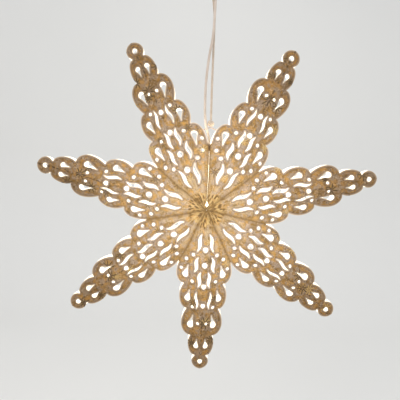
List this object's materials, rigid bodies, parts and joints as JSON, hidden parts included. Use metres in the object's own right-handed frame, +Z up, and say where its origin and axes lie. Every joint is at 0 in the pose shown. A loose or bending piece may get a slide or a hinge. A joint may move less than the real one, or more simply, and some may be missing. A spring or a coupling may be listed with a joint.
{
  "type": "paper star lantern",
  "caption": "Folded paper star lantern with scalloped, pierced petals, lit by a bulb inside and hung from a ceiling cup.",
  "frame": {"origin": "middle of the fixing bar's upper face, where the ceiling cup meets the ceiling", "axes": "+Z up to the ceiling, the front of the star towards -Y, +X to the right seen from the front"},
  "size_m": [0.5864, 0.1488, 0.6996],
  "materials": {
    "gold_paper": "printed gold tan paper, white inside",
    "bulb_glass": "frosted white, lit",
    "holder_plastic": "white",
    "core_plastic": "ivory",
    "contact_brass": "plain",
    "cord_sheath": "off-white",
    "hanger_cord": "off-white twisted cord",
    "tie_thread": "off-white thread",
    "cup_plastic": "white",
    "bar_steel": "zinc plated"
  },
  "bodies": {
    "root": {"point_1": "gold_paper", "point_2": "gold_paper", "point_3": "gold_paper", "point_4": "gold_paper", "point_5": "gold_paper", "point_6": "gold_paper", "point_7": "gold_paper", "bulb": "bulb_glass", "holder_skirt": "holder_plastic", "holder_dome": "holder_plastic", "holder_core": "core_plastic", "screw_sleeve": "contact_brass", "centre_contact": "contact_brass", "lamp_cord": "cord_sheath", "hanger_cord": "hanger_cord", "hanger_knot": "hanger_cord", "tie_thread": "tie_thread", "tie_knots": "tie_thread", "stop_knot": "hanger_cord", "ceiling_cup": "cup_plastic", "cord_grip": "cup_plastic", "grip_nut": "cup_plastic", "terminal_block": "core_plastic", "fixing_bar": "bar_steel", "cup_screws": "bar_steel"}
  },
  "joints": []
}
